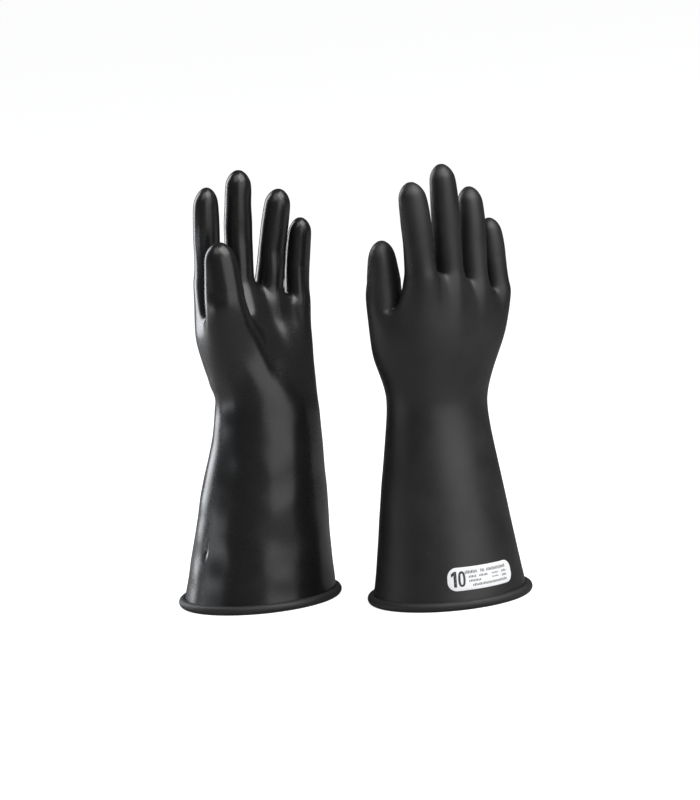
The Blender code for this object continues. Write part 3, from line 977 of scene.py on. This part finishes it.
def small_print_shape():
    """Rows of plain letter-sized blocks that stand for the small print."""
    blocks = []
    step, cycle = LETTER_CYCLE
    width = LETTER_PITCH * LETTER_SHARE
    for left, height, length, size in SMALL_PRINT:
        letters = max(int(length / LETTER_PITCH), 1)
        for k in range(letters):
            tall = size * (1.0 if (k * step + int(left)) % cycle else LOW_LETTER)
            blocks.append(block(left + k * LETTER_PITCH, height - size / 2, width, tall))
    return joined(blocks)


def lay_flat_shape(name, hand, surface, shape, lift, material):
    """Piece of the cuff made from a flat shape, with its faces outwards."""
    flat, faces = shape
    points = [surface.lay(s, h, lift) for s, h in flat]
    faces = np.asarray(faces)
    outline = [Vector(points[c]) for c in faces[0]]
    facing = (outline[2] - outline[0]).cross(outline[3] - outline[1])
    centre = surface.place @ Vector((0.0, 0.0, LABEL_CENTRE_W))
    if facing.dot(outline[0] - centre) < 0:
        faces = faces[:, ::-1]
    piece = add_piece(name, [tuple(p) for p in points], faces, material, Matrix.Identity(4))
    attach(piece, hand + "_cuff")
    return piece


def make_label(hand, settings, materials):
    """Printed film on the back of the cuff, with its size number and small print."""
    surface = CuffSurface(hand)
    thickness = settings.label_thickness / MM
    outline = label_grid(settings)
    white = materials["film"]
    film = lay_flat_shape(hand + "_size_label", hand, surface, outline, thickness, white)
    solidify = film.modifiers.new("Film", "SOLIDIFY")
    solidify.thickness = (thickness + FILM_SINK) * MM
    solidify.offset = -1.0
    bevel = film.modifiers.new("Edge", "BEVEL")
    bevel.width = FILM_EDGE * MM
    bevel.segments = 2
    bevel.limit_method = "ANGLE"
    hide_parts(hand + "_label")
    lift = thickness + INK_LIFT
    number, words = number_shape(), small_print_shape()
    lay_flat_shape(hand + "_size_number", hand, surface, number, lift, materials["ink"])
    lay_flat_shape(hand + "_small_print", hand, surface, words, lift, materials["print"])


# ========================================
# Materials
# ========================================
class NodeSheet:
    """Short way to add and join shader nodes in one tree."""

    def __init__(self, tree):
        self.tree = tree

    def add(self, kind, inputs=None, **values):
        node = self.tree.nodes.new(kind)
        for key, value in values.items():
            setattr(node, key, value)
        for key, value in (inputs or {}).items():
            self.give(node.inputs[key], value)
        return node

    def give(self, socket, value):
        if isinstance(value, bpy.types.NodeSocket):
            self.tree.links.new(value, socket)
        else:
            socket.default_value = value

    def math(self, operation, one, two=0.5, clamp=False):
        node = self.add("ShaderNodeMath", {0: one, 1: two}, operation=operation)
        node.use_clamp = clamp
        return node.outputs[0]

    def remap(self, value, low, high, to_low, to_high):
        inputs = {0: value, 1: low, 2: high, 3: to_low, 4: to_high}
        return self.add("ShaderNodeMapRange", inputs).outputs[0]

    def noise(self, vector, scale, detail=2.0, roughness=0.5):
        inputs = {"Vector": vector, "Scale": scale, "Detail": detail, "Roughness": roughness}
        return self.add("ShaderNodeTexNoise", inputs).outputs["Fac"]

    def mixed(self, share, one, two):
        inputs = {0: share, 6: one, 7: two}
        return self.add("ShaderNodeMix", inputs, data_type="RGBA").outputs[2]

    def bump(self, height, strength, distance):
        inputs = {"Height": height, "Strength": strength, "Distance": distance}
        return self.add("ShaderNodeBump", inputs).outputs["Normal"]


def rubber_group():
    """Shared surface of moulded rubber: bloom, grain, dust specks and roughness."""
    group = bpy.data.node_groups.new("Moulded rubber surface", "ShaderNodeTree")
    sockets = (
        ("Rubber", "NodeSocketColor"), ("Bloom", "NodeSocketColor"),
        ("Bloom Amount", "NodeSocketFloat"), ("Smooth", "NodeSocketFloat"),
        ("Matte", "NodeSocketFloat"), ("Grain", "NodeSocketFloat"), ("Dust", "NodeSocketFloat"),
    )
    for name, kind in sockets:
        group.interface.new_socket(name, in_out="INPUT", socket_type=kind)
    for name in ("Colour", "Roughness", "Height"):
        kind = "NodeSocketColor" if name == "Colour" else "NodeSocketFloat"
        group.interface.new_socket(name, in_out="OUTPUT", socket_type=kind)
    sheet = NodeSheet(group)
    given = sheet.add("NodeGroupInput").outputs
    place = sheet.add("ShaderNodeTexCoord").outputs["Object"]
    cloudy = sheet.noise(place, *CLOUDS)
    patches = sheet.noise(place, *PATCHES)
    fine = sheet.noise(place, *FINE_GRAIN)
    coarse = sheet.noise(place, *COARSE_GRAIN)
    clouds = sheet.remap(cloudy, *BLOOM_RANGE, 0.0, 1.0)
    bloom = sheet.math("MULTIPLY", clouds, given["Bloom Amount"])
    cells = {"Vector": place, "Scale": DUST_SCALE, "Randomness": 1.0}
    specks = sheet.add("ShaderNodeTexVoronoi", cells).outputs
    lot = sheet.add("ShaderNodeSeparateColor", {"Color": specks["Color"]})
    near = sheet.remap(specks["Distance"], *DUST_RADII, 1.0, 0.0)
    chosen = sheet.math("GREATER_THAN", lot.outputs[0], DUST_RARITY)
    dust = sheet.math("MULTIPLY", sheet.math("MULTIPLY", near, chosen), given["Dust"])
    tinted = sheet.mixed(bloom, given["Rubber"], given["Bloom"])
    dusty = sheet.mixed(dust, tinted, DUST_COLOUR)
    spread = sheet.math("SUBTRACT", given["Matte"], given["Smooth"])
    small = sheet.math("MULTIPLY", patches, PATCH_SHARE)
    large = sheet.math("MULTIPLY", cloudy, 1.0 - PATCH_SHARE)
    share = sheet.remap(sheet.math("ADD", small, large), *GLOSS_RANGE, 0.0, 1.0)
    rough = sheet.math("ADD", given["Smooth"], sheet.math("MULTIPLY", spread, share))
    dull = sheet.math("MULTIPLY", dust, DUST_ROUGHNESS)
    rough = sheet.math("ADD", rough, dull, clamp=True)
    grain = sheet.math("ADD", sheet.math("MULTIPLY", fine, FINE_SHARE), coarse)
    height = sheet.math("MULTIPLY", grain, given["Grain"])
    results = {"Colour": dusty, "Roughness": rough, "Height": height}
    sheet.add("NodeGroupOutput", results)
    return group


def rgba(colour):
    return (colour[0], colour[1], colour[2], 1.0)


def plain_material(name):
    """New material, its node sheet and its shader."""
    material = bpy.data.materials.new(name)
    material.use_nodes = True
    return material, NodeSheet(material.node_tree), material.node_tree.nodes["Principled BSDF"]


def rubber_material(name, group, rubber, bloom, roughness, finish):
    """Moulded rubber with its own gloss and bloom."""
    material, sheet, shader = plain_material(name)
    amount, smoother, duller, grain, dust = finish
    values = {
        "Rubber": rgba(rubber), "Bloom": rgba(bloom), "Bloom Amount": amount,
        "Smooth": roughness + smoother, "Matte": roughness + duller,
        "Grain": grain, "Dust": dust,
    }
    surface = sheet.add("ShaderNodeGroup", values, node_tree=group).outputs
    bump = sheet.bump(surface["Height"], *RUBBER_BUMP)
    sheet.give(shader.inputs["Base Color"], surface["Colour"])
    sheet.give(shader.inputs["Roughness"], surface["Roughness"])
    sheet.give(shader.inputs["Normal"], bump)
    shader.inputs["IOR"].default_value = RUBBER_IOR
    return material


def film_material(colour):
    """White printed film: slightly uneven white, satin, with faint ripples."""
    material, sheet, shader = plain_material("Label film")
    place = sheet.add("ShaderNodeTexCoord").outputs["Object"]
    blotch = sheet.noise(place, *FILM_PATTERN)
    share = sheet.remap(blotch, *FILM_RANGE, 0.0, 1.0)
    tint = sheet.mixed(share, rgba(colour), rgba([part * FILM_SHADE for part in colour]))
    sheet.give(shader.inputs["Base Color"], tint)
    rough = sheet.remap(blotch, *PRINT_RANGE, *FILM_ROUGHNESS)
    sheet.give(shader.inputs["Roughness"], rough)
    sheet.give(shader.inputs["Normal"], sheet.bump(blotch, *FILM_BUMP))
    return material


def ink_material(name, colour):
    """Printed ink, a little thin in places."""
    material, sheet, shader = plain_material(name)
    place = sheet.add("ShaderNodeTexCoord").outputs["Object"]
    thin = sheet.noise(place, *INK_PATTERN)
    share = sheet.remap(thin, *INK_RANGE, 0.0, INK_THIN)
    sheet.give(shader.inputs["Base Color"], sheet.mixed(share, rgba(colour), INK_GROUND))
    rough = sheet.remap(thin, *PRINT_RANGE, *INK_ROUGHNESS)
    sheet.give(shader.inputs["Roughness"], rough)
    return material


# ========================================
# Stage
# ========================================
def make_floor(settings):
    """Large pale floor."""
    mesh = bpy.data.meshes.new("stage_floor")
    corners = [
        (side * FLOOR_REACH, depth * FLOOR_REACH, 0.0)
        for side, depth in ((-1, -1), (1, -1), (1, 1), (-1, 1))
    ]
    mesh.from_pydata(corners, [], [(0, 1, 2, 3)])
    floor = bpy.data.objects.new("stage_floor", mesh)
    bpy.context.scene.collection.objects.link(floor)
    material, sheet, shader = plain_material("Pale floor")
    shader.inputs["Base Color"].default_value = rgba(settings.floor_colour)
    shader.inputs["Roughness"].default_value = FLOOR_ROUGHNESS
    shader.inputs["Specular IOR Level"].default_value = 0.0
    shader.inputs["Emission Color"].default_value = WHITE
    path = sheet.add("ShaderNodeLightPath")
    glow = sheet.math("MULTIPLY", path.outputs["Is Camera Ray"], settings.floor_glow)
    sheet.give(shader.inputs["Emission Strength"], glow)
    mesh.materials.append(material)


def make_world(settings):
    """White to the eye, dim as a light, so black rubber stays black."""
    world = bpy.data.worlds.new("Studio")
    world.use_nodes = True
    tree = world.node_tree
    sheet = NodeSheet(tree)
    tree.nodes.clear()
    path = sheet.add("ShaderNodeLightPath")
    seen = sheet.add("ShaderNodeBackground", {"Color": WHITE, "Strength": 1.0})
    room = {"Color": ROOM_COLOUR, "Strength": settings.room_light}
    dim = sheet.add("ShaderNodeBackground", room)
    blend = sheet.add("ShaderNodeMixShader", {0: path.outputs["Is Camera Ray"]})
    sheet.give(blend.inputs[1], dim.outputs[0])
    sheet.give(blend.inputs[2], seen.outputs[0])
    result = sheet.add("ShaderNodeOutputWorld")
    sheet.give(result.inputs["Surface"], blend.outputs[0])
    bpy.context.scene.world = world


def make_softbox(name, place, aim, size, power, colour):
    """Rectangular soft light that looks at a point."""
    data = bpy.data.lights.new(name, "AREA")
    data.shape = "RECTANGLE"
    data.size, data.size_y = size
    data.energy = power
    data.color = colour
    light = bpy.data.objects.new(name, data)
    light.location = place
    light.rotation_mode = "QUATERNION"
    light.rotation_quaternion = (Vector(aim) - Vector(place)).to_track_quat("-Z", "Y")
    bpy.context.scene.collection.objects.link(light)


def make_camera(settings):
    """Long lens a little above the gloves, rolled by their lean."""
    look = Vector((0.0, math.cos(settings.elevation), -math.sin(settings.elevation)))
    level = Vector((1.0, 0.0, 0.0))
    rise = level.cross(look)
    roll = settings.roll
    up = rise * math.cos(roll) + level * math.sin(roll)
    right = level * math.cos(roll) - rise * math.sin(roll)
    aim = Vector(settings.aim)
    data = bpy.data.cameras.new("camera")
    data.lens = settings.lens
    data.sensor_width = SENSOR_WIDTH
    data.clip_start, data.clip_end = CAMERA_CLIP
    camera = bpy.data.objects.new("camera", data)
    turn = Matrix((right, up, -look)).transposed().to_4x4()
    camera.matrix_world = Matrix.Translation(aim - look * settings.distance) @ turn
    bpy.context.scene.collection.objects.link(camera)
    bpy.context.scene.camera = camera


# ========================================
# Settings
# ========================================
def length_property(name, description, default):
    return FloatProperty(name=name, description=description, default=default, unit="LENGTH")


def share_property(name, description, default):
    return FloatProperty(name=name, description=description, default=default, min=0.0, max=1.0)


def colour_property(name, description, default):
    return FloatVectorProperty(
        name=name, description=description, default=default,
        subtype="COLOR", size=3, min=0.0, max=1.0,
    )


class GloveShapeSettings(bpy.types.PropertyGroup):
    wall: length_property("Wall", "Thickness of the rubber", 0.0016)
    smoothness: IntProperty(
        name="Smoothness", description="Subdivision steps of the skin", default=3, min=1, max=4
    )
    waviness_right: length_property("Right waviness", "Slow waves of the right rubber", 0.00035)
    waviness_left: length_property("Left waviness", "Slow waves of the left rubber", 0.0011)
    bead_radius: length_property("Bead radius", "Radius of the rolled bead", 0.00375)
    label_length: length_property("Label length", "Length of the label", 0.060)
    label_height: length_property("Label height", "Height of the label", 0.018)
    label_corner: length_property("Label corner", "Corner radius of the label", 0.0075)
    label_thickness: length_property("Label thickness", "Thickness of the label", 0.0004)


class GloveFinishSettings(bpy.types.PropertyGroup):
    rubber: colour_property("Rubber", "Colour of the moulded rubber", (0.008, 0.008, 0.0085))
    bloom: colour_property("Bloom", "Colour of the bloom on the rubber", (0.020, 0.019, 0.019))
    bead: colour_property("Bead", "Colour of the rolled bead", (0.016, 0.016, 0.0165))
    film: colour_property("Film", "Colour of the label film", (0.90, 0.91, 0.93))
    ink: colour_property("Ink", "Colour of the size number", (0.012, 0.012, 0.014))
    small_print: colour_property("Small print", "Colour of the small print", (0.10, 0.10, 0.11))
    roughness_left: share_property("Left roughness", "Roughness of the left glove", 0.27)
    roughness_right: share_property("Right roughness", "Roughness of the right glove", 0.46)
    roughness_bead: share_property("Bead roughness", "Roughness of the rolled bead", 0.59)


class GloveStageSettings(bpy.types.PropertyGroup):
    floor_colour: colour_property("Floor", "Colour of the floor", (0.38, 0.38, 0.38))
    floor_glow: FloatProperty(name="Floor glow", description="Own light of the floor", default=0.92)
    room_light: FloatProperty(name="Room light", description="Light from all sides", default=0.13)
    elevation: FloatProperty(
        name="Elevation", description="Camera angle above the horizon",
        default=math.radians(9.0), subtype="ANGLE",
    )
    roll: FloatProperty(
        name="Roll", description="Camera roll", default=math.radians(5.1), subtype="ANGLE"
    )
    distance: length_property("Distance", "Camera distance", 4.5)
    lens: FloatProperty(name="Lens", description="Focal length in millimetres", default=246.7)
    aim: FloatVectorProperty(
        name="Aim", description="Point at the middle of the view",
        default=(0.0097, 0.0244, 0.1600), size=3, subtype="XYZ",
    )


class GloveSettings(bpy.types.PropertyGroup):
    shape: PointerProperty(type=GloveShapeSettings)
    finish: PointerProperty(type=GloveFinishSettings)
    stage: PointerProperty(type=GloveStageSettings)


# ========================================
# Operators and panel
# ========================================
def shared_rubber_group():
    """The rubber node group, made when it is first asked for."""
    found = bpy.data.node_groups.get("Moulded rubber surface")
    return found or rubber_group()


class GLOVES_OT_shells(bpy.types.Operator):
    """Both rubber shells, from the cuffs to the fingertips"""

    bl_idname = "gloves.shells"
    bl_label = "Rubber shells"

    def execute(self, context):
        shape, finish = context.scene.gloves.shape, context.scene.gloves.finish
        group = shared_rubber_group()
        roughness = {"right": finish.roughness_right, "left": finish.roughness_left}
        for hand in HANDS:
            looks = (finish.rubber, finish.bloom, roughness[hand], RUBBER_FINISHES[hand])
            material = rubber_material(hand.title() + " rubber", group, *looks)
            make_glove(hand, shape, material)
        return {"FINISHED"}


class GLOVES_OT_beads(bpy.types.Operator):
    """Rolled beads of the two cuffs"""

    bl_idname = "gloves.beads"
    bl_label = "Rolled beads"

    def execute(self, context):
        shape, finish = context.scene.gloves.shape, context.scene.gloves.finish
        looks = (finish.bead, finish.bloom, finish.roughness_bead, RUBBER_FINISHES["bead"])
        material = rubber_material("Bead rubber", shared_rubber_group(), *looks)
        for hand in HANDS:
            make_bead(hand, shape, material)
        return {"FINISHED"}


class GLOVES_OT_labels(bpy.types.Operator):
    """Printed size labels on the backs of the cuffs"""

    bl_idname = "gloves.labels"
    bl_label = "Size labels"

    def execute(self, context):
        settings = context.scene.gloves
        finish = settings.finish
        materials = {
            "film": film_material(finish.film),
            "ink": ink_material("Number ink", finish.ink),
            "print": ink_material("Small print ink", finish.small_print),
        }
        for hand in HANDS:
            make_label(hand, settings.shape, materials)
        return {"FINISHED"}


class GLOVES_OT_stage(bpy.types.Operator):
    """Pale floor, soft studio lights and the camera"""

    bl_idname = "gloves.stage"
    bl_label = "Stage"

    def execute(self, context):
        settings = context.scene.gloves.stage
        make_floor(settings)
        make_world(settings)
        for softbox in SOFTBOXES:
            make_softbox(*softbox)
        make_camera(settings)
        context.scene.view_settings.view_transform = "Standard"
        return {"FINISHED"}


class GLOVES_PT_panel(bpy.types.Panel):
    """Builds the gloves and their stage"""

    bl_idname = "GLOVES_PT_panel"
    bl_label = "Insulating Gloves"
    bl_space_type = "VIEW_3D"
    bl_region_type = "UI"
    bl_category = "Gloves"

    def draw(self, context):
        layout = self.layout
        settings = context.scene.gloves
        for group in (settings.shape, settings.finish, settings.stage):
            box = layout.box()
            for name in group.__annotations__:
                box.prop(group, name)
        for operator in OPERATORS:
            layout.operator(operator.bl_idname)


OPERATORS = (GLOVES_OT_shells, GLOVES_OT_beads, GLOVES_OT_labels, GLOVES_OT_stage)
CLASSES = (
    GloveShapeSettings,
    GloveFinishSettings,
    GloveStageSettings,
    GloveSettings,
    *OPERATORS,
    GLOVES_PT_panel,
)


def register():
    for cls in CLASSES:
        bpy.utils.register_class(cls)
    bpy.types.Scene.gloves = PointerProperty(type=GloveSettings)


def unregister():
    del bpy.types.Scene.gloves
    for cls in reversed(CLASSES):
        bpy.utils.unregister_class(cls)


def main():
    register()
    bpy.ops.gloves.shells()
    bpy.ops.gloves.beads()
    bpy.ops.gloves.labels()
    bpy.ops.gloves.stage()


if __name__ == "__main__":
    main()
